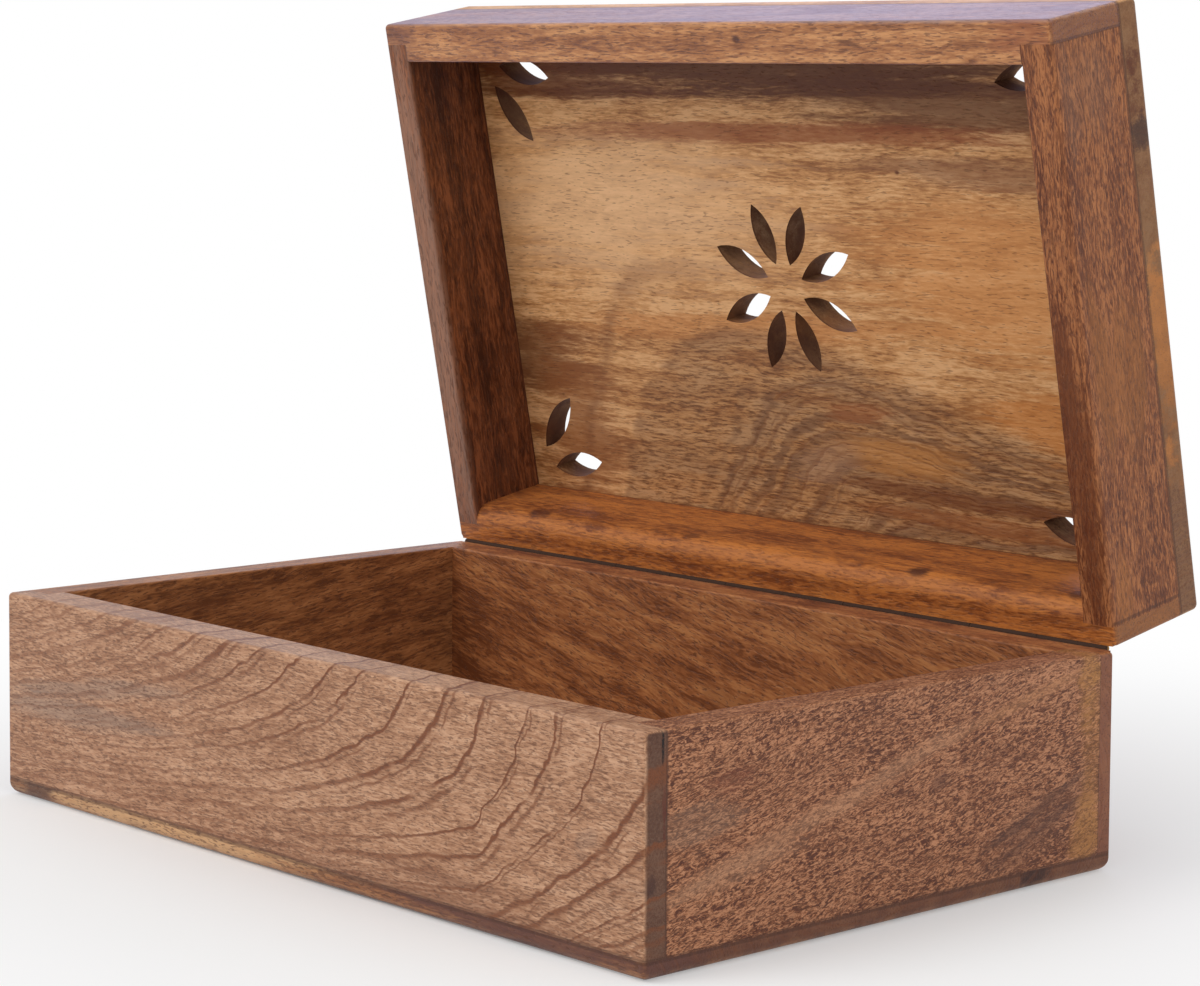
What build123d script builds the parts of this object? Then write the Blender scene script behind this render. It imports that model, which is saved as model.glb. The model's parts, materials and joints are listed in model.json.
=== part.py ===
from build123d import *
import os

# Whole box in millimetres: X left to right, Y front to back, Z up from the underside
BOX_WIDTH = 254.0
BOX_DEPTH = 156.0
BASE_HEIGHT = 54.5
LID_HEIGHT = 33.5
RIM_GAP = 0.2
LID_OPEN_ANGLE = 79.0

# Boards of the base, and the tongues of its front and back that lap over the side boards
BASE_BOTTOM = 4.5
BASE_FRONT = 12.0
BASE_BACK = 10.5
BASE_LEFT = 10.0
BASE_RIGHT = 10.0
BASE_FRONT_TONGUE = 6.25
BASE_BACK_TONGUE = 5.1

# Boards of the lid, and the tongues of its front and back
LID_PANEL = 7.7
LID_FRONT = 11.0
LID_BACK = 10.5
LID_LEFT = 9.0
LID_RIGHT = 10.0
LID_FRONT_TONGUE = 6.0
LID_BACK_TONGUE = 5.0

# Softened edges
CORNER_ROUND = 1.3
RIM_ROUND = 1.2
INNER_EASE = 0.6
UNDERSIDE_ROUND = 3.0
LID_TOP_ROUND = 2.0
LEDGE_ROUND = 5.5

# Flower cut through the middle of the lid panel: angle and length of the petals in one quarter
FLOWER_PETALS = ((22.5, 20.5), (67.5, 18.0))
FLOWER_PETAL_WIDTH = 7.0
FLOWER_HUB_RADIUS = 7.0

# Petals in each corner of the lid panel, fanned from a point near that corner
CORNER_PETAL_ANGLES = (9.0, 49.0)
CORNER_PETAL_LENGTH = 21.5
CORNER_PETAL_WIDTH = 7.4
CORNER_HUB_RADIUS = 10.0
CORNER_HUB_FROM_LEFT = 8.5
CORNER_HUB_FROM_RIGHT = 11.5
CORNER_HUB_FROM_EDGE = 15.3

# Continuous hinge on the back faces of base and lid
HINGE_INSET = 3.0
LEAF_HEIGHT = 9.0
LEAF_THICKNESS = 0.4
PIN_RADIUS = 0.35
PIN_CLEARANCE = 0.03
KNUCKLES = 11
KNUCKLE_GAP = 0.15
KNUCKLE_CLEARANCE = 0.2

# Screws with low slotted heads, in a row along each leaf
SCREW_ROW_INSET = 14.0
SCREW_HEIGHT = 5.2
SCREW_RADIUS = 0.8
SCREW_LENGTH = 7.5
SCREW_HEAD_RADIUS = 1.6
SCREW_HEAD_THICKNESS = 0.3
SCREW_SLOT_WIDTH = 0.4
SCREW_SLOT_DEPTH = 0.15
SCREW_SLOT_ANGLES = (25.0, 110.0, 70.0, 150.0)

# Faces of the box, with the lid shut
LEFT_FACE = -BOX_WIDTH / 2
RIGHT_FACE = BOX_WIDTH / 2
FRONT_FACE = -BOX_DEPTH / 2
BACK_FACE = BOX_DEPTH / 2
LID_RIM = BASE_HEIGHT + RIM_GAP
LID_TOP = LID_RIM + LID_HEIGHT
LID_CEILING = LID_TOP - LID_PANEL

# Hinge axis: behind the back faces, half way up the hairline between the rims
BORE_RADIUS = PIN_RADIUS + PIN_CLEARANCE
BARREL_RADIUS = BORE_RADIUS + LEAF_THICKNESS
HINGE_Y = BACK_FACE + BARREL_RADIUS
HINGE_Z = BASE_HEIGHT + RIM_GAP / 2
HINGE_AXIS = Axis((0, HINGE_Y, HINGE_Z), (1, 0, 0))
HINGE_LENGTH = BOX_WIDTH - 2 * HINGE_INSET
KNUCKLE_LENGTH = (HINGE_LENGTH - (KNUCKLES - 1) * KNUCKLE_GAP) / KNUCKLES
BASE_SIDE, LID_SIDE = -1, 1


def block(x, y, z):
    """Box between the two limits given on each axis."""
    size = [abs(end - start) for start, end in (x, y, z)]
    centre = [(start + end) / 2 for start, end in (x, y, z)]
    return Pos(*centre) * Box(*size)


def rounded_form(low, high, low_round, high_round):
    """Outer form of the base or the lid, with upright corners and both outlines softened."""
    form = block((LEFT_FACE, RIGHT_FACE), (FRONT_FACE, BACK_FACE), (low, high))
    form = fillet(form.edges().filter_by(Axis.Z), CORNER_ROUND)
    form = fillet(form.faces().sort_by(Axis.Z)[0].edges(), low_round)
    return fillet(form.faces().sort_by(Axis.Z)[-1].edges(), high_round)


def square_back(rim, side):
    """Strip that brings the back edge of a rim out square again, between the box corners."""
    width = (LEFT_FACE + CORNER_ROUND, RIGHT_FACE - CORNER_ROUND)
    return block(width, (BACK_FACE - RIM_ROUND, BACK_FACE), (rim, rim + side * RIM_ROUND))


def mouth_edges(shell, side):
    """Inner edges of the rim of a shell, from front to back."""
    rim = shell.faces().sort_by(Axis.Z)[-1 if side == BASE_SIDE else 0]
    return rim.inner_wires()[0].edges().sort_by(Axis.Y)


def frame_boards(shell, inside, tongues, height):
    """Front, back, left and right boards of a shell, divided at their rebated corners."""
    (left, right), (front, back) = inside
    front_tongue, back_tongue = FRONT_FACE + tongues[0], BACK_FACE - tongues[1]
    width = (LEFT_FACE, RIGHT_FACE)
    depth = (front_tongue, back_tongue)
    front_lap = block(width, (FRONT_FACE, front_tongue), height)
    front_core = block((left, right), (front_tongue, front), height)
    back_lap = block(width, (back_tongue, BACK_FACE), height)
    back_core = block((left, right), (back, back_tongue), height)
    return {
        "front_board": shell & (front_lap + front_core),
        "back_board": shell & (back_lap + back_core),
        "left_board": shell & block((LEFT_FACE, left), depth, height),
        "right_board": shell & block((right, RIGHT_FACE), depth, height),
    }


def petal(length, width, start, angle):
    """Pointed petal of two arcs, reaching out from a hub at the origin."""
    near, far, middle = (start, 0), (start + length, 0), start + length / 2
    one_side = ThreePointArc(near, (middle, width / 2), far)
    other_side = ThreePointArc(far, (middle, -width / 2), near)
    return Rot(Z=angle) * make_face(Curve() + [one_side, other_side])


def fretwork():
    """Petals that are cut through the lid panel: the flower, and a fan in each corner."""
    outlines = []
    for angle, length in FLOWER_PETALS:
        outline = petal(length, FLOWER_PETAL_WIDTH, FLOWER_HUB_RADIUS, angle)
        outlines += [outline, mirror(outline, Plane.YZ)]
    left_hub = Pos(LEFT_FACE + CORNER_HUB_FROM_LEFT, FRONT_FACE + CORNER_HUB_FROM_EDGE)
    right_hub = Pos(RIGHT_FACE - CORNER_HUB_FROM_RIGHT, FRONT_FACE + CORNER_HUB_FROM_EDGE)
    for angle in CORNER_PETAL_ANGLES:
        outline = petal(CORNER_PETAL_LENGTH, CORNER_PETAL_WIDTH, CORNER_HUB_RADIUS, angle)
        outlines += [left_hub * outline, right_hub * mirror(outline, Plane.YZ)]
    outlines += [mirror(outline, Plane.XZ) for outline in outlines]
    return [Pos(Z=LID_RIM) * extrude(outline, 2 * LID_HEIGHT) for outline in outlines]


def rod(place, radius, length):
    """Cylinder on the hinge axis, centred on a place along it."""
    return Pos(place, HINGE_Y, HINGE_Z) * Rot(Y=90) * Cylinder(radius, length)


def knuckle_places(side):
    """Middles of the knuckles of one leaf: the base leaf has the odd ones, with both ends."""
    pitch = KNUCKLE_LENGTH + KNUCKLE_GAP
    first = (KNUCKLE_LENGTH - HINGE_LENGTH) / 2
    start = 0 if side == BASE_SIDE else 1
    return [first + count * pitch for count in range(start, KNUCKLES, 2)]


def screw_places(side):
    """Where the screws of a leaf are driven, on its outer face."""
    outer_face, height = BACK_FACE + LEAF_THICKNESS, HINGE_Z + side * SCREW_HEIGHT
    reach, last = HINGE_LENGTH - 2 * SCREW_ROW_INSET, len(SCREW_SLOT_ANGLES) - 1
    return [Pos(reach * (count / last - 0.5), outer_face, height) for count in range(last + 1)]


def screw_cylinder(radius, start, end):
    """Cylinder on the axis of a screw, whose head lies against the origin and faces back."""
    return Pos(Y=(start + end) / 2) * Rot(X=90) * Cylinder(radius, end - start)


def screw_holes(side):
    """Holes for the shanks of the screws of a leaf."""
    hole = screw_cylinder(SCREW_RADIUS, -SCREW_LENGTH, 0)
    return [spot * hole for spot in screw_places(side)]


def hinge_leaf(side):
    """Leaf with its knuckles bored, and cut back round the knuckles of the other leaf."""
    width = (-HINGE_LENGTH / 2, HINGE_LENGTH / 2)
    thickness = (BACK_FACE, BACK_FACE + LEAF_THICKNESS)
    leaf = block(width, thickness, (HINGE_Z, HINGE_Z + side * LEAF_HEIGHT))
    clearance = BARREL_RADIUS + KNUCKLE_CLEARANCE
    for middle in knuckle_places(-side):
        leaf -= rod(middle, clearance, KNUCKLE_LENGTH + 2 * KNUCKLE_GAP)
    leaf += [rod(middle, BARREL_RADIUS, KNUCKLE_LENGTH) for middle in knuckle_places(side)]
    return leaf - rod(0, BORE_RADIUS, HINGE_LENGTH) - screw_holes(side)


def hinge_screws(side):
    """The slotted screws of a leaf."""
    shank = screw_cylinder(SCREW_RADIUS, -SCREW_LENGTH, 0)
    head = screw_cylinder(SCREW_HEAD_RADIUS, 0, SCREW_HEAD_THICKNESS)
    slot = Box(3 * SCREW_HEAD_RADIUS, 2 * SCREW_SLOT_DEPTH, SCREW_SLOT_WIDTH)
    screw = shank + head - Pos(Y=SCREW_HEAD_THICKNESS) * slot
    spots = zip(screw_places(side), SCREW_SLOT_ANGLES)
    return Compound([spot * Rot(Y=angle) * screw for spot, angle in spots])


def base_pieces():
    """Boards of the base, its hinge leaf, pin and screws."""
    inside = (
        (LEFT_FACE + BASE_LEFT, RIGHT_FACE - BASE_RIGHT),
        (FRONT_FACE + BASE_FRONT, BACK_FACE - BASE_BACK),
    )
    form = rounded_form(0, BASE_HEIGHT, UNDERSIDE_ROUND, RIM_ROUND)
    form += square_back(BASE_HEIGHT, BASE_SIDE)
    shell = form - block(*inside, (BASE_BOTTOM, LID_RIM))
    shell = fillet(mouth_edges(shell, BASE_SIDE), INNER_EASE)
    tongues = (BASE_FRONT_TONGUE, BASE_BACK_TONGUE)
    boards = frame_boards(shell, inside, tongues, (BASE_BOTTOM, LID_RIM))
    pieces = {"base_" + name: board for name, board in boards.items()}
    pieces["base_back_board"] -= screw_holes(BASE_SIDE)
    pieces["base_bottom_panel"] = shell & block(
        (LEFT_FACE, RIGHT_FACE), (FRONT_FACE, BACK_FACE), (0, BASE_BOTTOM)
    )
    pieces["hinge_base_leaf"] = hinge_leaf(BASE_SIDE)
    pieces["hinge_base_screws"] = hinge_screws(BASE_SIDE)
    pieces["hinge_pin"] = rod(0, PIN_RADIUS, HINGE_LENGTH)
    return pieces


def lid_pieces():
    """Boards and fretted panel of the shut lid, its hinge leaf and screws."""
    inside = (
        (LEFT_FACE + LID_LEFT, RIGHT_FACE - LID_RIGHT),
        (FRONT_FACE + LID_FRONT, BACK_FACE - LID_BACK),
    )
    form = rounded_form(LID_RIM, LID_TOP, RIM_ROUND, LID_TOP_ROUND)
    form += square_back(LID_RIM, LID_SIDE)
    shell = form - block(*inside, (BASE_HEIGHT, LID_CEILING))
    shell = fillet(mouth_edges(shell, LID_SIDE)[-1], LEDGE_ROUND)
    shell = fillet(mouth_edges(shell, LID_SIDE)[:-1], INNER_EASE)
    tongues = (LID_FRONT_TONGUE, LID_BACK_TONGUE)
    boards = frame_boards(shell, inside, tongues, (BASE_HEIGHT, LID_CEILING))
    pieces = {"lid_" + name: board for name, board in boards.items()}
    pieces["lid_back_board"] -= screw_holes(LID_SIDE)
    panel = shell & block((LEFT_FACE, RIGHT_FACE), (FRONT_FACE, BACK_FACE), (LID_CEILING, LID_TOP))
    pieces["lid_panel"] = panel - fretwork()
    pieces["hinge_lid_leaf"] = hinge_leaf(LID_SIDE)
    pieces["hinge_lid_screws"] = hinge_screws(LID_SIDE)
    return pieces


pieces = base_pieces()
for name, piece in lid_pieces().items():
    pieces[name] = piece.rotate(HINGE_AXIS, -LID_OPEN_ANGLE)

os.makedirs("parts", exist_ok=True)
for name, piece in pieces.items():
    export_step(piece, "parts/" + name + ".step")
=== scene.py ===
import json
import math

import bpy
from mathutils import Matrix, Vector


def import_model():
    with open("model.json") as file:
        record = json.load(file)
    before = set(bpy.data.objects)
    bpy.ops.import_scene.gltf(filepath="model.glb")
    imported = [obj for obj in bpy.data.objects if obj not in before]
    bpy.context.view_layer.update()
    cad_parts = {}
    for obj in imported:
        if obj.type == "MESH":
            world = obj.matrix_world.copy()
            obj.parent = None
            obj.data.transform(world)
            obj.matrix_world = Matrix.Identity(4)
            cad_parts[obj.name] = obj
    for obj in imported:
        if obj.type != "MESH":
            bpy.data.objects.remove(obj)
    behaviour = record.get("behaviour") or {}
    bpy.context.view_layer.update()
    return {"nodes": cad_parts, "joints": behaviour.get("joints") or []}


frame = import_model()

# Camera, fitted to the box's own corners
CAMERA_PLACE = (0.6404, -0.5498, 0.1937)
CAMERA_YAW, CAMERA_PITCH, CAMERA_ROLL = 46.20, -4.33, 0.58
CAMERA_LENS, CAMERA_SENSOR = 99.3, 36.0
CAMERA_SHIFT = (-0.100, -0.136)
CAMERA_CLIP = (0.05, 50.0)

# Lamps: place in metres, width in metres, power in watts and colour
LAMPS = {
    "key": ((-0.5, -1.5, 1.3), 1.0, 15.0, (1.0, 1.0, 1.0)),
    "fill": ((1.7, -0.3, 0.8), 1.0, 7.0, (1.0, 1.0, 1.0)),
    "rear": ((-0.9, 1.3, 0.75), 0.9, 3.8, (0.58, 0.58, 1.0)),
}
LAMP_AIM = Vector((0.0, 0.0, 0.08))

# Surroundings: how bright the white is as a background and as light
BACKGROUND, SKY_LIGHT = 1.0, 0.62
WHITE, PAPER = (1.0, 1.0, 1.0, 1.0), (0.92, 0.92, 0.92, 1.0)

# Floor: half its width, its level, and how far out it has turned white, in metres
FLOOR_REACH, FLOOR_LEVEL, FLOOR_FADE = 6.0, -0.0002, 0.38

# Lid: where it hinges, and how far it turns from this pose until it is shut
HINGE = Vector(frame["joints"][0]["pos_m"])
SHUT_TURN = math.radians(frame["joints"][0]["range_deg"][1])

# Box with the lid shut, in metres
RIGHT, FRONT = 0.127, -0.078
BASE_TOP, LID_RIM, CEILING = 0.0545, 0.0547, 0.0805

# Noise cells in each metre, along, across and through the grain, or on X, Y and Z of brass
WAVE_CELLS = (30, 60, 60)
STREAK_CELLS = (7, 210, 210)
MOTTLE_CELLS = (45, 170, 170)
CROWD_CELLS = (35, 90, 90)
DRIFT_CELLS = (9, 30, 30)
SCALLOP_CELLS = (70, 70, 70)
BREAK_CELLS = (30, 80, 80)
FRONT_CELLS = (80, 80, 80)
HEART_CELLS = (22, 40, 40)
BLOTCH_CELLS = (160, 160, 160)
SCRATCH_CELLS = (60, 2400, 2400)

# Growth ring, in metres from its start: where a mark begins, is full, wanes and ends
RING_LINE = (0.0, 0.0004, 0.0008, 0.0015)
SECOND_LINE = (0.0021, 0.0025, 0.0027, 0.0032)
RING_SHADE = (0.0, 0.0006, 0.0012, 0.0070)


def rgb(red, green, blue):
    """Linear colour from display values between 0 and 255."""
    linear = [
        value / 12.92 if value <= 0.04045 else ((value + 0.055) / 1.055) ** 2.4
        for value in (red / 255, green / 255, blue / 255)
    ]
    return (*linear, 1.0)


LINE = rgb(118, 67, 38)
PORE = rgb(88, 50, 30)
PURPLE = rgb(92, 58, 52)
SAPWOOD = rgb(176, 122, 66)
GREY = rgb(140, 120, 106)
END_GRAIN = rgb(90, 54, 40)
CHARRED = rgb(80, 40, 20)
DIRT = rgb(62, 32, 20)
SHEEN = rgb(190, 194, 255)
ARCH, ARCH_SPECK = rgb(118, 82, 58), rgb(84, 50, 32)
ARCH_RIM, OUTER_ARCH = rgb(108, 64, 38), rgb(118, 70, 42)
# Brass, its dull tarnish, and painted shade for the barrel's front in the crease between base and
# lid
BRASS, DULL_BRASS, CREASE_SHADE = rgb(158, 118, 68), rgb(108, 78, 46), rgb(62, 43, 33)

# Reach of a patch into its board, in metres, so that it doesn't thin out at the surface
DEEP = 0.02

# Boards, with lengths in metres and places in the shut box:
# axes: which run along, across and through the grain
# slant: of the grain to the board, in degrees
# pith: heart of the tree, across and its lean, then through and its lean
# rings, lines: spacing of the growth rings and strength of their lines
# waves: how far the grain wanders
# pores: cells in each metre along and across the grain
# pore_share, pore_depth: threshold of their noise, lower for more pores, and their strength
# fibre: cells in each metre along and across the grain, and strength
# curl: how far fibres and pores swirl
# mottle, streaks: strength of the clouds and of the long streaks
# sheen: bluish gleam at a flat angle
# pale, mid, deep, ends: colours, the last for end grain
# patches: centre, reach, turn in degrees, colour and strength of each
# seams: axis across the joint of two boards, its level and the width of its line
# The first table holds what a board has unless it says otherwise
USUAL = {
    "slant": 0.0, "rings": 0.005, "lines": 0.3, "pore_depth": 0.6,
    "fibre": (210, 1500, 0.85), "curl": 0.0, "mottle": 0.75, "streaks": 0.8, "sheen": 0.02,
    "patches": (),
}

BOARDS = {
    "base_front_board": {
        "axes": "XZY",
        "rings": 0.0036, "waves": 0.0012,
        "pores": (520, 2700), "pore_share": 0.55, "pore_depth": 0.55,
        "fibre": (300, 1500, 1.1), "curl": 0.4, "mottle": 0.42, "streaks": 0.4,
        "pale": rgb(200, 156, 124), "mid": rgb(176, 130, 98), "deep": rgb(142, 98, 70),
        "ends": rgb(54, 25, 21),
        "patches": (
            ((-0.100, FRONT, 0.026), (0.050, DEEP, 0.0045), (0, 0, 0), GREY, 0.55),
            ((-0.085, FRONT, 0.034), (0.040, DEEP, 0.0030), (0, -6, 0), GREY, 0.45),
            ((0.108, FRONT, 0.028), (0.006, DEEP, 0.0030), (0, -40, 0), GREY, 0.25),
            ((0.060, FRONT, 0.002), (0.090, DEEP, 0.0100), (0, 0, 0), rgb(120, 78, 56), 0.5),
            ((RIGHT, -0.0731, 0.049), (DEEP, 0.0004, 0.0070), (0, 0, 0), rgb(8, 4, 3), 1.0),
            ((RIGHT, -0.0725, 0.036), (DEEP, 0.0006, 0.0090), (0, 0, 0), rgb(90, 38, 24), 0.8),
            ((RIGHT, -0.0762, 0.020), (DEEP, 0.0022, 0.0030), (0, 0, 0), rgb(60, 34, 30), 0.8),
        ),
        "seams": (("Z", 0.0047, 0.0005), ("Y", -0.0717, 0.0006)),
    },
    "base_back_board": {
        "axes": "XZY", "slant": 14.0, "pith": (0.020, 0.02, 0.05, 0.10),
        "waves": 0.0030,
        "pores": (420, 1900), "pore_share": 0.58,
        "pale": rgb(186, 124, 74), "mid": rgb(160, 98, 56), "deep": rgb(112, 62, 32),
        "ends": rgb(126, 80, 62),
        "seams": (("Z", 0.0047, 0.0005),),
    },
    "base_left_board": {
        "axes": "YZX", "slant": -8.0, "pith": (0.0, 0.02, 0.05, 0.10),
        "waves": 0.0024,
        "pores": (420, 1900), "pore_share": 0.58,
        "pale": rgb(176, 118, 72), "mid": rgb(148, 94, 54), "deep": rgb(106, 62, 34),
        "ends": END_GRAIN,
        "seams": (("Z", 0.0047, 0.0005), ("Y", -0.0717, 0.0006)),
    },
    "base_right_board": {
        "axes": "YZX", "slant": -10.0, "pith": (-0.02, 0.02, 0.06, 0.06),
        "rings": 0.006, "lines": 0.15, "waves": 0.0034,
        "pores": (600, 1900), "pore_share": 0.53, "pore_depth": 0.55,
        "fibre": (520, 1700, 2.3), "curl": 1.2, "mottle": 0.4, "streaks": 0.35,
        "pale": rgb(188, 132, 96), "mid": rgb(144, 90, 58), "deep": rgb(84, 42, 26),
        "ends": END_GRAIN,
        "patches": (
            ((RIGHT, -0.020, 0.0305), (DEEP, 0.072, 0.0030), (15, 0, 0), rgb(186, 138, 104), 0.42),
            ((RIGHT, -0.048, 0.0205), (DEEP, 0.026, 0.0030), (10, 0, 0), rgb(180, 134, 102), 0.36),
            ((RIGHT, 0.045, 0.0465), (DEEP, 0.030, 0.0022), (13, 0, 0), rgb(178, 124, 84), 0.5),
            ((RIGHT, -0.062, 0.0320), (DEEP, 0.014, 0.0060), (0, 0, 0), rgb(150, 120, 98), 0.35),
            ((RIGHT, -0.052, 0.0410), (DEEP, 0.012, 0.0028), (4, 0, 0), rgb(112, 58, 38), 0.55),
            ((RIGHT, 0.050, 0.0150), (DEEP, 0.028, 0.0075), (20, 0, 0), rgb(100, 64, 48), 0.40),
            ((RIGHT, 0.052, 0.0200), (DEEP, 0.026, 0.0016), (22, 0, 0), rgb(74, 46, 38), 0.50),
            ((RIGHT, 0.050, 0.0140), (DEEP, 0.022, 0.0014), (22, 0, 0), rgb(78, 48, 40), 0.45),
            ((RIGHT, 0.015, 0.0310), (DEEP, 0.0045, 0.0022), (15, 0, 0), rgb(86, 48, 36), 0.60),
            ((RIGHT, 0.0690, 0.0520), (DEEP, 0.0046, 0.0160), (-6, 0, 0), SAPWOOD, 0.6),
            ((RIGHT, 0.0680, 0.0120), (DEEP, 0.0055, 0.0150), (-6, 0, 0), SAPWOOD, 0.6),
            ((RIGHT, 0.0700, 0.0300), (DEEP, 0.0040, 0.0300), (-4, 0, 0), SAPWOOD, 0.3),
        ),
        "seams": (("Z", 0.0047, 0.0004), ("Y", -0.0717, 0.0004), ("Y", 0.0729, 0.0004)),
    },
    "base_bottom_panel": {
        "axes": "XYZ", "pith": (0.0, 0.02, 0.05, 0.05),
        "waves": 0.0016,
        "pores": (420, 2200), "pore_share": 0.56,
        "pale": rgb(168, 116, 76), "mid": rgb(134, 86, 56), "deep": rgb(96, 56, 40),
        "ends": rgb(104, 66, 50),
        "patches": (
            ((-0.045, FRONT, 0.002), (0.070, 0.004, 0.0080), (0, 0, 0), rgb(214, 170, 124), 0.8),
            ((-0.112, FRONT, 0.002), (0.006, 0.004, 0.0080), (0, 0, 0), rgb(74, 46, 38), 0.8),
            ((0.085, FRONT, 0.002), (0.050, 0.004, 0.0080), (0, 0, 0), PURPLE, 0.7),
            ((RIGHT, 0.049, 0.002), (0.004, 0.006, 0.0060), (0, 0, 0), rgb(54, 32, 28), 0.9),
            ((RIGHT, -0.070, 0.002), (0.004, 0.012, 0.0060), (0, 0, 0), PURPLE, 0.7),
        ),
        "seams": (("Z", 0.0042, 0.0006),),
    },
    "lid_front_board": {
        "axes": "XZY", "pith": (0.05, 0.02, 0.06, 0.05),
        "lines": 0.35, "waves": 0.0012,
        "pores": (300, 2400), "pore_share": 0.57,
        "mottle": 0.6, "sheen": 0.42,
        "pale": rgb(206, 148, 96), "mid": rgb(176, 118, 72), "deep": rgb(130, 80, 46),
        "ends": rgb(128, 82, 52),
        "patches": (
            # Greyish tint over the outer face: painted reflection of the pale surroundings, seen at
            # a flat angle
            ((0.0, -0.0784, 0.0710), (0.300, 0.0012, 0.0500), (0, 0, 0), rgb(146, 136, 138), 0.46),
            ((0.020, -0.0735, LID_RIM), (0.0016, 0.0012, 0.004), (0, 0, 0), rgb(70, 38, 26), 0.9),
            ((0.060, -0.0725, LID_RIM), (0.0050, 0.0008, 0.004), (0, 0, 12), rgb(96, 58, 36), 0.7),
            ((0.118, -0.0730, LID_RIM), (0.0120, 0.0060, 0.004), (0, 0, 0), rgb(150, 84, 52), 0.5),
            ((-0.121, -0.0730, LID_RIM), (0.0080, 0.0060, 0.004), (0, 0, 0), rgb(120, 76, 58), 0.5),
        ),
        "seams": (("Y", -0.0722, 0.0006), ("Z", 0.0803, 0.0005)),
    },
    "lid_back_board": {
        "axes": "XZY", "pith": (0.05, 0.03, 0.04, 0.05),
        "rings": 0.006, "waves": 0.0026,
        "pores": (300, 2000), "pore_share": 0.58, "pore_depth": 0.45,
        "fibre": (210, 1200, 1.1), "streaks": 0.9,
        "pale": rgb(194, 119, 55), "mid": rgb(170, 100, 46), "deep": rgb(122, 64, 26),
        "ends": rgb(140, 92, 56),
        "patches": (
            ((-0.0925, 0.067, 0.0585), (0.0050, 0.006, 0.0022), (0, 0, 0), rgb(70, 32, 24), 0.8),
            ((-0.0275, 0.067, 0.0590), (0.0040, 0.006, 0.0018), (0, 0, 0), rgb(70, 32, 24), 0.7),
            ((0.0585, 0.067, 0.0585), (0.0045, 0.006, 0.0024), (0, 0, 0), rgb(62, 28, 22), 0.9),
            ((0.1125, 0.067, 0.0595), (0.0030, 0.006, 0.0020), (0, 0, 0), rgb(70, 34, 26), 0.7),
            ((0.1170, 0.070, 0.0630), (0.0022, 0.004, 0.0014), (0, 0, 0), rgb(214, 190, 168), 0.7),
        ),
        "seams": (("Z", 0.0803, 0.0005),),
    },
    "lid_left_board": {
        "axes": "YZX", "pith": (0.05, 0.02, 0.08, 0.04),
        "lines": 0.25, "waves": 0.0020,
        "pores": (300, 1700), "pore_share": 0.55,
        "fibre": (240, 1400, 1.2), "curl": 0.6, "mottle": 0.6, "streaks": 0.9,
        # Dark colours: partly painted shade, as this board's inner face lies in the shade inside
        # the lid
        "pale": rgb(142, 84, 50), "mid": rgb(108, 58, 30), "deep": rgb(68, 34, 18),
        "ends": END_GRAIN,
        "patches": (
            # Paler rim: the lit part of this board, set against the painted shade of its face
            ((-0.1225, 0.0, LID_RIM), (0.0060, 0.110, 0.0030), (0, 0, 0), rgb(166, 122, 98), 0.6),
        ),
        "seams": (("Y", -0.0722, 0.0006), ("Z", 0.0803, 0.0005)),
    },
    "lid_right_board": {
        "axes": "YZX", "pith": (0.05, 0.02, 0.08, 0.04),
        "lines": 0.2, "waves": 0.0022,
        "pores": (420, 2000), "pore_share": 0.55, "pore_depth": 0.5,
        "fibre": (330, 1700, 1.6), "curl": 0.8, "mottle": 0.42, "streaks": 0.45,
        "pale": rgb(172, 110, 66), "mid": rgb(136, 80, 46), "deep": rgb(90, 45, 24),
        "ends": END_GRAIN,
        "patches": (
            ((RIGHT, 0.012, 0.066), (DEEP, 0.022, 0.012), (0, 0, 0), rgb(150, 94, 48), 0.6),
            ((RIGHT, 0.066, 0.060), (DEEP, 0.010, 0.004), (0, 0, 0), rgb(176, 112, 58), 0.5),
            ((RIGHT, -0.060, 0.066), (DEEP, 0.016, 0.010), (0, 0, 0), rgb(146, 108, 84), 0.28),
            ((0.122, 0.034, LID_RIM), (0.007, 0.056, 0.003), (0, 0, 0), rgb(98, 48, 24), 0.70),
        ),
        "seams": (("Y", -0.0722, 0.0006), ("Y", 0.0722, 0.0006), ("Z", 0.0803, 0.0006)),
    },
    "lid_panel": {
        "axes": "XYZ",
        "lines": 0.32, "waves": 0.0016,
        "pores": (300, 2300), "pore_share": 0.62, "pore_depth": 0.4,
        "streaks": 0.7,
        "pale": rgb(226, 176, 124), "mid": rgb(202, 148, 94), "deep": rgb(154, 100, 56),
        "ends": rgb(98, 62, 38),
        "patches": (
            ((-0.065, -0.020, CEILING), (0.070, 0.024, DEEP), (0, 0, 0), rgb(232, 188, 142), 0.6),
            ((-0.020, 0.012, CEILING), (0.080, 0.005, DEEP), (0, 0, -2), rgb(206, 138, 78), 0.5),
            ((0.085, -0.004, CEILING), (0.055, 0.024, DEEP), (0, 0, 4), rgb(214, 146, 84), 0.6),
            ((0.100, 0.034, CEILING), (0.030, 0.012, DEEP), (0, 0, 12), rgb(206, 132, 66), 0.6),
            # Dark band along the top of the panel, under the front board: partly darker grain,
            # partly painted shade cast by that board
            ((0.0, -0.062, CEILING), (0.150, 0.009, DEEP), (0, 0, 0), rgb(86, 38, 14), 0.9),
            ((-0.085, -0.057, CEILING), (0.055, 0.008, DEEP), (0, 0, 0), rgb(100, 48, 20), 0.8),
            ((0.065, -0.052, CEILING), (0.080, 0.009, DEEP), (0, 0, 3), rgb(94, 48, 24), 0.75),
            ((0.020, -0.043, CEILING), (0.110, 0.0035, DEEP), (0, 0, 0), rgb(142, 72, 34), 0.7),
            ((0.075, -0.034, CEILING), (0.060, 0.0050, DEEP), (0, 0, 3), rgb(128, 82, 56), 0.6),
            ((-0.108, 0.028, CEILING), (0.024, 0.014, DEEP), (0, 0, -8), rgb(112, 68, 42), 0.7),
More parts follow.
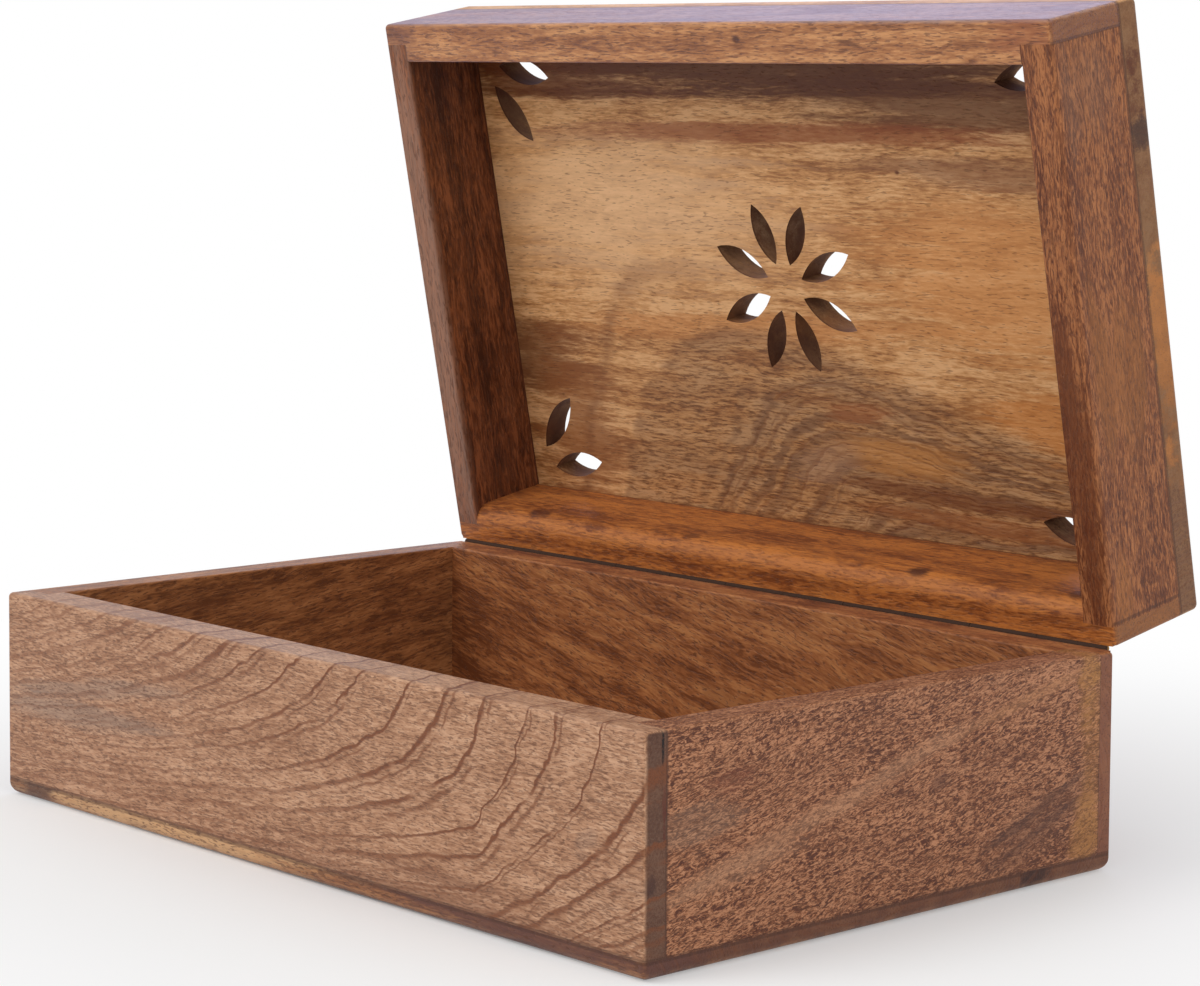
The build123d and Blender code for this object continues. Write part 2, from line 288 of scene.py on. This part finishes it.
            ((-0.094, 0.048, CEILING), (0.024, 0.030, DEEP), (0, 0, 0), rgb(140, 84, 46), 0.7),
            ((0.047, -0.0335, CEILING), (0.0013, 0.0009, DEEP), (0, 0, 0), rgb(84, 30, 16), 0.9),
            ((RIGHT, -0.045, 0.0845), (0.01, 0.005, 0.006), (0, 0, 0), rgb(56, 36, 30), 0.8),
            ((RIGHT, 0.008, 0.0845), (0.01, 0.022, 0.006), (0, 0, 0), rgb(172, 108, 52), 0.7),
        ),
        "seams": (("Z", 0.0807, 0.0005),),
    },
}

# Patches of the lid's panel that lie over its arches
HEART_PATCHES = (
    ((0.022, 0.0345, CEILING), (0.014, 0.0030, DEEP), (0, 0, -4), rgb(160, 92, 50), 0.5),
    ((0.036, 0.0450, CEILING), (0.024, 0.0055, DEEP), (0, 0, 4), rgb(202, 138, 74), 0.6),
    ((0.008, 0.0490, CEILING), (0.014, 0.0060, DEEP), (0, 0, -20), rgb(170, 132, 104), 0.45),
    ((0.054, 0.0550, CEILING), (0.045, 0.0030, DEEP), (0, 0, 3), rgb(108, 58, 32), 0.6),
    ((0.060, 0.0610, CEILING), (0.040, 0.0030, DEEP), (0, 0, 2), rgb(160, 96, 52), 0.5),
)


class Graph:
    """Nodes of one material or world, with short ways to add and join them."""

    def __init__(self, owner):
        owner.use_nodes = True
        self.owner = owner
        self.tree = owner.node_tree
        self.tree.nodes.clear()

    def node(self, kind, inputs=None, **settings):
        node = self.tree.nodes.new("ShaderNode" + kind)
        for key, value in settings.items():
            setattr(node, key, value)
        for socket, value in (inputs or {}).items():
            if isinstance(value, bpy.types.NodeSocket):
                self.tree.links.new(value, node.inputs[socket])
            else:
                node.inputs[socket].default_value = value
        return node

    def math(self, operation, *values):
        return self.node("Math", dict(enumerate(values)), operation=operation).outputs[0]

    def total(self, *values):
        result = values[0]
        for value in values[1:]:
            result = self.math("ADD", result, value)
        return result

    def product(self, *values):
        result = values[0]
        for value in values[1:]:
            result = self.math("MULTIPLY", result, value)
        return result

    def scaled(self, value, factor, start):
        """Start plus factor times the value."""
        return self.math("MULTIPLY_ADD", value, factor, start)

    def less(self, value, amount):
        return self.math("SUBTRACT", value, amount)

    def centred(self, noise):
        """Noise that runs about 0 instead of about one half."""
        return self.less(noise, 0.5)

    def absolute(self, value):
        return self.math("ABSOLUTE", value)

    def inverse(self, value):
        return self.less(1.0, value)

    def rise(self, value, start, end):
        """0 below start and 1 above end, or the other way round where end is the lower."""
        inputs = {"Value": value, "From Min": start, "From Max": end}
        return self.node("MapRange", inputs, interpolation_type="SMOOTHSTEP").outputs[0]

    def band(self, value, start, full, waning, end):
        """1 from full to waning, and 0 below start and above end."""
        return self.product(self.rise(value, start, full), self.rise(value, end, waning))

    def noise(self, place, cells, detail=3.0, roughness=0.6, shift=(0, 0, 0), curl=0.0):
        """Noise between 0 and 1 with that many cells in each metre on each axis."""
        inputs = {"Vector": place, "Scale": cells, "Location": shift}
        stretched = self.node("Mapping", inputs).outputs[0]
        inputs = {"Vector": stretched, "Scale": 1.0, "Detail": detail, "Roughness": roughness}
        return self.node("TexNoise", {**inputs, "Distortion": curl}).outputs["Fac"]

    def ripple(self, value, scale, detail):
        """Noise between 0 and 1 along a single measure."""
        inputs = {"W": value, "Scale": scale, "Detail": detail}
        return self.node("TexNoise", inputs, noise_dimensions="1D").outputs["Fac"]

    def blend(self, factor, below, above):
        inputs = {0: factor, 6: below, 7: above}
        return self.node("Mix", inputs, data_type="RGBA", clamp_factor=True).outputs[2]

    def split(self, vector):
        return self.node("SeparateXYZ", {0: vector}).outputs

    def join(self, x, y, z):
        return self.node("CombineXYZ", {0: x, 1: y, 2: z}).outputs[0]

    def moved(self, place, shift, operation="ADD"):
        return self.node("VectorMath", {0: place, 1: shift}, operation=operation).outputs[0]

    def length(self, vector):
        return self.node("VectorMath", {0: vector}, operation="LENGTH").outputs["Value"]

    def seen(self):
        """1 for rays that show a surface, straight, in a gloss or through glass, else 0."""
        rays = self.node("LightPath").outputs
        direct = self.math("MAXIMUM", rays["Is Camera Ray"], rays["Is Glossy Ray"])
        return self.math("MAXIMUM", direct, rays["Is Transmission Ray"])

    def surface(self, inputs):
        """Ends a material with one Principled shader."""
        shader = self.node("BsdfPrincipled", inputs).outputs[0]
        self.node("OutputMaterial", {"Surface": shader})
        return self.owner


def shut_space(graph, on_lid):
    """Place and facing of a point of the box as if its lid were shut."""
    source = graph.node("TexCoord").outputs
    place, facing = source["Object"], source["Normal"]
    if not on_lid:
        return place, facing
    turn = Matrix.Rotation(SHUT_TURN, 3, "X")
    angles = (SHUT_TURN, 0.0, 0.0)
    shift = HINGE - turn @ HINGE
    place = graph.node("Mapping", {"Vector": place, "Rotation": angles, "Location": shift})
    facing = graph.node("Mapping", {"Vector": facing, "Rotation": angles}, vector_type="NORMAL")
    return place.outputs[0], facing.outputs[0]


def edge_mask(graph, facing):
    """1 on rounded edges and 0 on the flat faces of the box."""
    sides = [graph.absolute(side) for side in graph.split(facing)]
    flattest = graph.math("MAXIMUM", graph.math("MAXIMUM", sides[0], sides[1]), sides[2])
    return graph.rise(graph.inverse(flattest), 0.03, 0.22)


def seam_mask(graph, parts, sides, axis, level, width):
    """1 on a thin line where two boards meet, on the ends of the box or all round it."""
    gap = graph.absolute(graph.less(parts[axis], level))
    side, start, end = (sides["X"], 0.4, 0.7) if axis == "Y" else (sides["Z"], 0.7, 0.4)
    faced = graph.rise(graph.absolute(side), start, end)
    return graph.product(graph.rise(gap, width, width * 0.4), faced)


def petal_mask(graph, parts, sides):
    """1 on the sawn sides of the petals, which lie within the panel's outer edges."""
    upright = graph.rise(graph.absolute(sides["Z"]), 0.7, 0.4)
    inset, clear = 0.0015, 0.0025
    across = graph.rise(graph.absolute(parts["Y"]), -FRONT - inset, -FRONT - clear)
    along = graph.rise(graph.absolute(parts["X"]), RIGHT - inset, RIGHT - clear)
    return graph.product(upright, across, along)


def patched(graph, colour, place, ragged, patches):
    """Colour with ragged ovals of other colours over it."""
    for centre, reach, turn, tint, strength in patches:
        angles = [math.radians(angle) for angle in turn]
        inputs = {"Vector": place, "Location": centre, "Rotation": angles, "Scale": reach}
        local = graph.node("Mapping", inputs, vector_type="TEXTURE").outputs[0]
        oval = graph.rise(graph.total(graph.length(local), ragged), 1.15, 0.45)
        colour = graph.blend(graph.product(oval, strength), colour, tint)
    return colour


def shaken(graph, flat, cells, detail, offsets, widths):
    """Places along and across the grain, each moved by noise within its width."""
    places = []
    for part, offset, width in zip(graph.split(flat), offsets, widths):
        noise = graph.noise(flat, cells, detail, shift=(offset, 2.0, 5.0))
        places.append(graph.scaled(noise, width, graph.less(part, width / 2)))
    return places


def front_figure(graph, flat):
    """Figure of the front board: lines that fall from its top and bend level to the left.

    Gives the distance across the lines, how fast it grows on the board, and how steep they
    are, from 1 for steep to 0 for level.
    """
    bend, spacing, start = 22.0, 0.260, -0.0237
    along, across = shaken(graph, flat, FRONT_CELLS, 3.0, (3.0, 11.0), (0.0090, 0.0036))
    drop = graph.math("MAXIMUM", graph.less(BASE_TOP, across), 0.0)
    lean = graph.math("MAXIMUM", graph.scaled(along, -16.0, 1.1), 0.0)
    run = graph.product(drop, graph.scaled(drop, bend, lean))
    distance = graph.scaled(graph.total(along, run), spacing, start)
    fall = graph.scaled(drop, 2 * bend, lean)
    growth = graph.product(graph.math("SQRT", graph.scaled(fall, fall, 1.0)), spacing)
    return distance, growth, graph.rise(fall, 3.2, 1.2)


def heart_figure(graph, flat):
    """Figure of the lid's panel: arches, steep at their left, long and shallow at their right.

    Gives the distance out from the heart of the arches, how far right of their steep legs'
    line a point lies, and how far outside the outermost arch, all in metres.
    """
    foot, crest, outer_leg, outer_crown = 0.066, 0.038, -0.0765, 0.0465
    along, across = shaken(graph, flat, HEART_CELLS, 4.0, (4.0, 9.0), (0.0200, 0.0120))
    above = graph.less(foot, across)
    leg = graph.less(along, graph.product(graph.scaled(along, 6.0, 0.85), above))
    spread = graph.math("SMOOTH_MAX", graph.less(along, crest), 0.0, 0.060)
    crown = graph.product(above, graph.scaled(spread, 15.5, 0.92))
    beyond_leg, beyond_crown = graph.less(outer_leg, leg), graph.less(crown, outer_crown)
    edge = graph.math("SMOOTH_MAX", beyond_leg, beyond_crown, 0.022)
    distance = graph.math("SMOOTH_MAX", graph.scaled(leg, -0.6, 0.016), crown, 0.018)
    return distance, leg, edge


def pith_figure(graph, flat, pith, shift):
    """Distance from the heart of the tree, whose line runs askew through the board."""
    along, across, through = graph.split(flat)
    across_at, across_lean, through_at, through_lean = pith
    sideways = graph.total(across, graph.scaled(along, across_lean, -across_at))
    inward = graph.total(through, graph.scaled(along, through_lean, -through_at))
    drift = graph.noise(flat, DRIFT_CELLS, 2.0, 0.5, shift)
    scallop = graph.noise(flat, SCALLOP_CELLS, 2.0, 0.5, shift)
    return graph.total(
        graph.length(graph.join(sideways, inward, 0.0)),
        graph.product(graph.centred(drift), 0.014),
        graph.product(graph.centred(scallop), 0.0060),
    )


def growth_rings(graph, flat, distance, spacing, growth, shift):
    """Masks of thin ring lines, some of them double, and of the shade that follows each."""
    phase = graph.math("DIVIDE", distance, spacing)
    phase = graph.scaled(graph.ripple(phase, 0.8, 0.0), 0.9, phase)
    ring = graph.math("DIVIDE", graph.product(graph.math("FRACT", phase), spacing), growth)
    broken = graph.noise(flat, BREAK_CELLS, shift=shift)
    line = graph.product(graph.band(ring, *RING_LINE), graph.rise(broken, 0.30, 0.46))
    second = graph.product(graph.band(ring, *SECOND_LINE), graph.rise(broken, 0.58, 0.46), 0.7)
    return graph.math("MAXIMUM", line, second), graph.band(ring, *RING_SHADE)


def arches(graph, figure, ragged, mottle, fibre, colour):
    """Colour with the grey-brown arches of the lid's panel over it."""
    distance, leg, edge = [graph.total(part, graph.product(ragged, 0.0022)) for part in figure]

    # Body of the arches, banded towards their middle, and its dark specks
    arch = graph.rise(edge, 0.0040, -0.0030)
    bands = graph.rise(graph.ripple(distance, 250.0, 1.5), 0.42, 0.62)
    banded = graph.product(graph.rise(distance, 0.0500, 0.0380), bands, 0.40)
    strength = graph.total(graph.scaled(graph.rise(mottle, 0.30, 0.65), 0.30, 0.15), banded)
    colour = graph.blend(graph.product(arch, strength), colour, ARCH)
    specks = graph.product(arch, graph.rise(fibre, 0.50, 0.38), 0.48)
    colour = graph.blend(specks, colour, ARCH_SPECK)

    # Thin line round the arches, and one more outside it, both on the left alone
    rim = graph.product(
        graph.rise(graph.absolute(edge), 0.0028, 0.0),
        graph.rise(mottle, 0.35, 0.6),
        graph.rise(leg, -0.040, -0.060),
    )
    colour = graph.blend(graph.product(rim, 0.45), colour, ARCH_RIM)
    outer = graph.product(
        graph.rise(graph.absolute(graph.less(edge, 0.0190)), 0.0040, 0.0),
        graph.rise(leg, -0.070, -0.095),
        graph.rise(mottle, 0.30, 0.6),
    )
    return graph.blend(graph.product(outer, 0.5), colour, OUTER_ARCH)


def wood(name, board, seed):
    """Satin hardwood cut as the board says, in the shut box's own space."""
    graph = Graph(bpy.data.materials.new(name))
    place, facing = shut_space(graph, name.startswith("lid_"))
    parts = dict(zip("XYZ", graph.split(place)))
    sides = dict(zip("XYZ", graph.split(facing)))
    flat = graph.join(*[parts[axis] for axis in board["axes"]])
    slant = (0.0, 0.0, math.radians(board["slant"]))
    turned = graph.node("Mapping", {"Vector": flat, "Rotation": slant}).outputs[0]
    shift = (seed * 1.7, seed * 3.1, seed * 2.3)

    # Slow waves that bend the grain
    wave = graph.noise(turned, WAVE_CELLS, 2.0, 0.5, shift)
    bend = graph.product(graph.centred(wave), board["waves"] * 2)
    grain = graph.moved(turned, graph.join(0.0, bend, bend))

    # Growth rings, as a figure of their own on two boards
    growth, line_share = 1.0, board["lines"]
    if name == "base_front_board":
        distance, growth, steepness = front_figure(graph, flat)
        line_share = graph.scaled(steepness, 0.58, 0.40)
    elif name == "lid_panel":
        heart = heart_figure(graph, flat)
        distance = heart[0]
    else:
        distance = pith_figure(graph, flat, board["pith"], shift)
    line, shade = growth_rings(graph, flat, distance, board["rings"], growth, shift)

    # Streaks, fibres, mottle and pores
    curl = board["curl"]
    streak = graph.noise(grain, STREAK_CELLS, 4.0, shift=shift)
    mottle = graph.noise(grain, MOTTLE_CELLS, shift=shift)
    long, short, fibre_share = board["fibre"]
    fibre = graph.noise(grain, (long, short, short), 3.0, 0.65, shift, curl)
    long, short = board["pores"]
    dash = graph.noise(grain, (long, short, short), 1.0, 0.5, shift, curl)
    crowd = graph.noise(flat, CROWD_CELLS, 2.0, 0.5, shift)
    threshold = graph.scaled(graph.centred(crowd), -0.14, board["pore_share"])
    pores = graph.rise(graph.less(dash, threshold), 0.0, 0.07)

    # Colour of the bare wood
    tone = graph.total(
        graph.product(graph.centred(streak), board["streaks"]),
        graph.product(graph.centred(mottle), board["mottle"]),
        graph.product(graph.centred(fibre), fibre_share),
    )
    colour = graph.blend(graph.rise(tone, -0.03, 0.20), board["mid"], board["pale"])
    colour = graph.blend(graph.rise(tone, 0.03, -0.22), colour, board["deep"])
    ends = graph.rise(graph.absolute(sides[board["axes"][0]]), 0.55, 0.9)
    colour = graph.blend(graph.product(ends, 0.8), colour, board["ends"])

    # Patches and lines over it
    ragged = graph.total(
        graph.product(graph.centred(streak), 2.2),
        graph.product(graph.centred(fibre), 0.7),
    )
    colour = patched(graph, colour, place, ragged, board["patches"])
    if name == "lid_panel":
        colour = arches(graph, heart, ragged, mottle, fibre, colour)
        colour = patched(graph, colour, place, ragged, HEART_PATCHES)
        line = graph.product(line, graph.scaled(graph.rise(distance, 0.044, 0.036), 0.9, 0.1))
    colour = graph.blend(graph.product(shade, line_share, 0.18), colour, board["deep"])
    colour = graph.blend(graph.product(line, line_share), colour, LINE)
    colour = graph.blend(graph.product(pores, board["pore_depth"]), colour, PORE)

    # Rubbed edges, dirt in the joints, and petals charred by the saw
    worn = graph.product(edge_mask(graph, facing), graph.rise(mottle, 0.35, 0.65), 0.3)
    colour = graph.blend(worn, colour, board["pale"])
    grime = graph.rise(fibre, 0.25, 0.5)
    for seam in board["seams"]:
        dirt_and_shade = graph.product(seam_mask(graph, parts, sides, *seam), grime, 0.55)
        colour = graph.blend(dirt_and_shade, colour, DIRT)
    roughness = graph.scaled(fibre, 0.24, 0.36)
    if name == "lid_panel":
        sawn = petal_mask(graph, parts, sides)
        burn = graph.scaled(graph.rise(mottle, 0.35, 0.65), 0.3, 0.55)
        colour = graph.blend(graph.product(sawn, burn), colour, CHARRED)
        roughness = graph.scaled(sawn, 0.35, roughness)

    height = graph.total(
        graph.product(fibre, 0.6),
        graph.product(mottle, 0.5),
        graph.product(pores, -0.9),
        graph.product(line, -0.4),
    )
    bump = graph.node("Bump", {"Height": height, "Strength": 0.45, "Distance": 0.0003})
    return graph.surface({
        "Base Color": colour,
        "Roughness": roughness,
        "Normal": bump.outputs[0],
        "Specular IOR Level": 0.28,
        "Sheen Weight": board["sheen"],
        "Sheen Roughness": 0.4,
        "Sheen Tint": SHEEN,
    })


def brass(name):
    """Brass long since darkened, with painted shade on the front of the barrel where it lies in the
    crease between base and lid.
    """
    graph = Graph(bpy.data.materials.new(name))
    place = graph.node("TexCoord").outputs["Object"]
    blotch = graph.noise(place, BLOTCH_CELLS, 4.0, 0.55)
    scratch = graph.noise(place, SCRATCH_CELLS, 2.0, 0.55)
    colour = graph.blend(graph.rise(blotch, 0.25, 0.8), BRASS, DULL_BRASS)
    _, out, up = graph.split(graph.moved(place, HINGE, "SUBTRACT"))
    barrel = graph.rise(graph.length(graph.join(0.0, out, up)), 0.0013, 0.0010)
    # Front of the barrel, which shows in the crease between base and lid: painted shade, dark, dull
    # and not metal
    dirt_and_shade = graph.product(barrel, graph.rise(out, 0.0003, -0.0001))
    colour = graph.blend(dirt_and_shade, colour, CREASE_SHADE)
    bump = graph.node("Bump", {"Height": scratch, "Strength": 0.25, "Distance": 0.0001})
    return graph.surface({
        "Base Color": colour,
        "Metallic": graph.inverse(dirt_and_shade),
        "Roughness": graph.total(graph.product(scratch, 0.3), graph.product(dirt_and_shade, 0.35), 0.32),
        "Normal": bump.outputs[0],
        "Specular IOR Level": 0.2,
    })


def floor():
    """Pale floor under the box, which fades into the white background."""
    mesh = bpy.data.meshes.new("floor")
    signs = ((-1, -1), (1, -1), (1, 1), (-1, 1))
    corners = [(x * FLOOR_REACH, y * FLOOR_REACH, FLOOR_LEVEL) for x, y in signs]
    mesh.from_pydata(corners, [], [(0, 1, 2, 3)])
    plane = bpy.data.objects.new("floor", mesh)
    bpy.context.scene.collection.objects.link(plane)
    graph = Graph(bpy.data.materials.new("floor_paper"))
    distance = graph.length(graph.node("TexCoord").outputs["Object"])
    far = graph.product(graph.rise(distance, 0.0, FLOOR_FADE), graph.seen())
    paper = graph.node("BsdfDiffuse", {"Color": PAPER}).outputs[0]
    glow = graph.node("Emission", {"Color": WHITE, "Strength": BACKGROUND}).outputs[0]
    mixed = graph.node("MixShader", {0: far, 1: paper, 2: glow}).outputs[0]
    graph.node("OutputMaterial", {"Surface": mixed})
    mesh.materials.append(graph.owner)


def world():
    """Even white surroundings, dimmer as light than as a background."""
    sky = bpy.data.worlds.new("studio")
    bpy.context.scene.world = sky
    graph = Graph(sky)
    inputs = {"Value": graph.seen(), "To Min": SKY_LIGHT, "To Max": BACKGROUND}
    strength = graph.node("MapRange", inputs).outputs[0]
    white = graph.node("Background", {"Strength": strength, "Color": WHITE}).outputs[0]
    graph.node("OutputWorld", {"Surface": white})


def softbox(name, place, width, power, colour):
    """Square area lamp that faces the middle of the box."""
    lamp = bpy.data.lights.new(name, "AREA")
    lamp.size, lamp.energy, lamp.color = width, power, colour
    light = bpy.data.objects.new(name, lamp)
    light.location = place
    light.rotation_euler = (LAMP_AIM - Vector(place)).to_track_quat("-Z", "Y").to_euler()
    light.visible_camera = False
    bpy.context.scene.collection.objects.link(light)


def camera():
    """Camera at the photograph's angle."""
    data = bpy.data.cameras.new("camera")
    data.lens, data.sensor_width = CAMERA_LENS, CAMERA_SENSOR
    data.shift_x, data.shift_y = CAMERA_SHIFT
    data.clip_start, data.clip_end = CAMERA_CLIP
    view = bpy.data.objects.new("camera", data)
    turn = Matrix.Rotation(math.radians(CAMERA_YAW), 4, "Z")
    tilt = Matrix.Rotation(math.radians(90 + CAMERA_PITCH), 4, "X")
    roll = Matrix.Rotation(math.radians(CAMERA_ROLL), 4, "Z")
    view.matrix_world = Matrix.Translation(CAMERA_PLACE) @ turn @ tilt @ roll
    bpy.context.scene.collection.objects.link(view)
    bpy.context.scene.camera = view


def dress(node, material):
    """Gives a CAD node one material in all of its slots."""
    for slot in frame["nodes"][node].material_slots:
        slot.material = material


for seed, (node, board) in enumerate(BOARDS.items(), 1):
    dress(node, wood(node, {**USUAL, **board}, seed))
hinge_metal = brass("hinge_brass_aged")
for node in frame["nodes"]:
    if node.startswith("hinge_"):
        dress(node, hinge_metal)

camera()
floor()
world()
for name, settings in LAMPS.items():
    softbox(name, *settings)
bpy.context.scene.view_settings.view_transform = "Standard"
